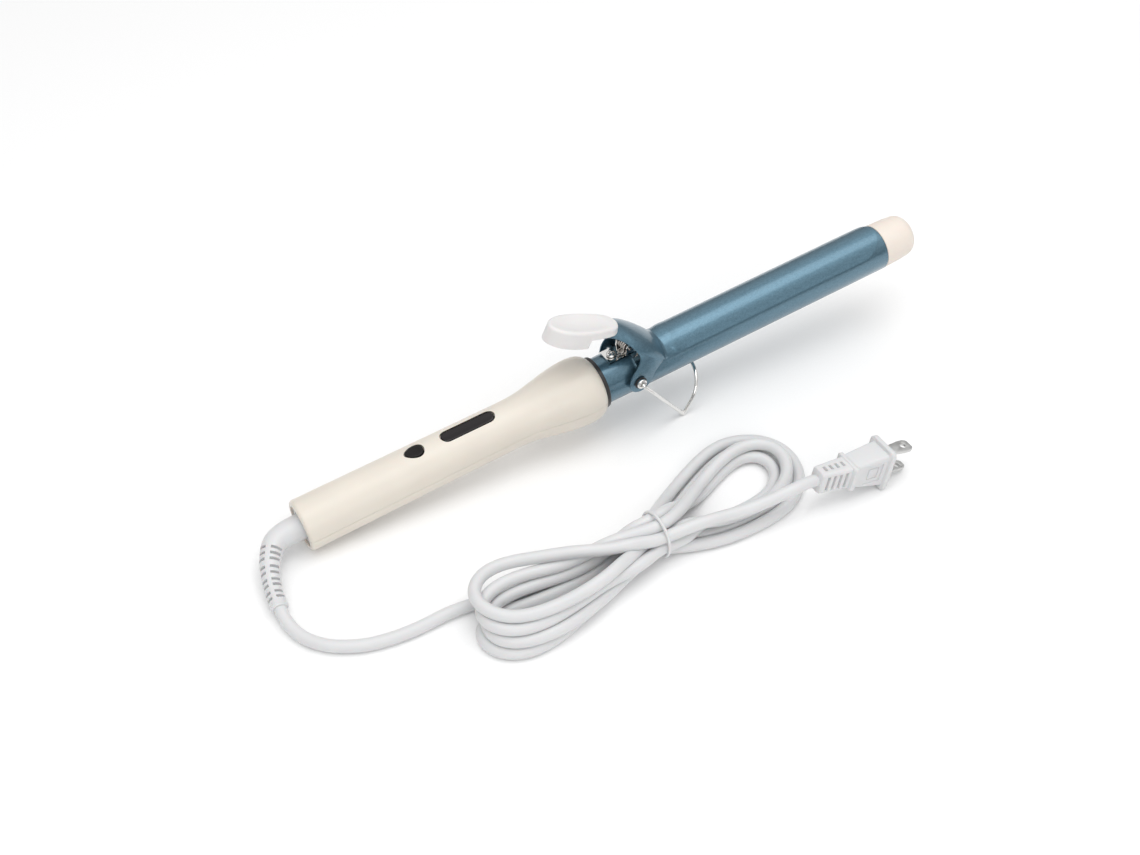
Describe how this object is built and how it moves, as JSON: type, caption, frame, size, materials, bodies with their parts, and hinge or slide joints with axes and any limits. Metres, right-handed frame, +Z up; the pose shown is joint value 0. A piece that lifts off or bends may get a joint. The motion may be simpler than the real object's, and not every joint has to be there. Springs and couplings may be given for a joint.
{
  "type": "curling iron",
  "caption": "Spring-clip curling iron with a slim handle, enamelled barrel, wire stand and a tied hank of cord with its plug.",
  "frame": {"origin": "on the table, below the middle of the iron without its cord", "axes": "+X from the handle to the barrel's tip along the table, +Z up, the hank of cord on the -Y side"},
  "size_m": [0.3967, 0.1407, 0.0798],
  "materials": {
    "cream": "satin moulded plastic",
    "tip_cream": "satin moulded plastic",
    "teal": "blue-grey pearl enamel",
    "clip_teal": "blue-grey pearl enamel",
    "black_plastic": "satin",
    "smoke": "gloss",
    "button_black": "satin",
    "white_plastic": "satin moulded plastic",
    "chrome": "bright plate",
    "spring_steel": "drawn wire",
    "zinc": "zinc plate",
    "pvc": "semi-gloss flexible plastic",
    "nickel": "nickel plate",
    "brass": "plain",
    "phenolic": "moulded",
    "aluminium": "extruded",
    "ceramic": "fired",
    "board": "solder mask",
    "component": "moulded",
    "silicone": "sleeve"
  },
  "bodies": {
    "root": {"handle_upper_shell": "cream", "handle_lower_shell": "cream", "cool_tip": "tip_cream", "barrel_tube": "teal", "front_collar": "black_plastic", "pivot_washer_near": "black_plastic", "pivot_washer_far": "black_plastic", "thermistor": "black_plastic", "display_window": "smoke", "display_module": "white_plastic", "cord_tie": "white_plastic", "saddle_bracket": "chrome", "bracket_screw": "chrome", "pivot_screw_near": "chrome", "pivot_screw_far": "chrome", "torsion_spring": "spring_steel", "spring_pin": "spring_steel", "handle_screw_rear": "zinc", "handle_screw_front": "zinc", "tact_switch": "zinc", "thermal_fuse": "zinc", "cord_lead": "pvc", "cord_hank": "pvc", "cord_plug_run": "pvc", "plug_body": "pvc", "plug_blade_upper": "nickel", "plug_blade_lower": "nickel", "contact_brush_outer": "brass", "contact_brush_inner": "brass", "barrel_bushing": "phenolic", "brush_holder": "phenolic", "heater_block_upper": "aluminium", "heater_block_lower": "aluminium", "ptc_heater": "ceramic", "circuit_board": "board", "heater_triac": "component", "smoothing_capacitor": "component", "supply_wire_live": "silicone", "supply_wire_neutral": "silicone", "heater_lead_live": "silicone", "heater_lead_fused": "silicone", "heater_lead_neutral": "silicone", "sensor_lead": "silicone"},
    "clip": {"clip_lever": "clip_teal", "thumb_rest": "white_plastic"},
    "stand": {"wire_stand": "chrome"},
    "button": {"control_button": "button_black", "switch_plunger": "component"},
    "swivel": {"swivel_collar": "white_plastic", "contact_ring_outer": "brass", "contact_ring_inner": "brass", "strain_relief": "pvc"}
  },
  "joints": [
    {"name": "clip_pivot", "type": "hinge", "parent": "root", "child": "clip", "pos_m": [0.00119, 0, 0.03436], "axis": [0, -1, 0], "range_deg": [0, 30], "stiffness_Nm_per_rad": 0.19, "springref_deg": -34.38, "deforming": ["torsion_spring"]},
    {"name": "stand_pivot", "type": "hinge", "parent": "root", "child": "stand", "pos_m": [0.00119, 0, 0.03436], "axis": [0, -1, 0], "range_deg": [-95, 0]},
    {"name": "button_press", "type": "slide", "parent": "root", "child": "button", "axis": [0.1028, 0, -0.9947], "range_m": [0, 0.0006], "stiffness_N_per_m": 250, "springref_m": -0.0008},
    {"name": "cord_swivel", "type": "hinge", "parent": "root", "child": "swivel", "pos_m": [-0.1823, 0, 0.01308], "axis": [-0.9947, 0, -0.1028], "range_deg": [0, 70]}
  ]
}
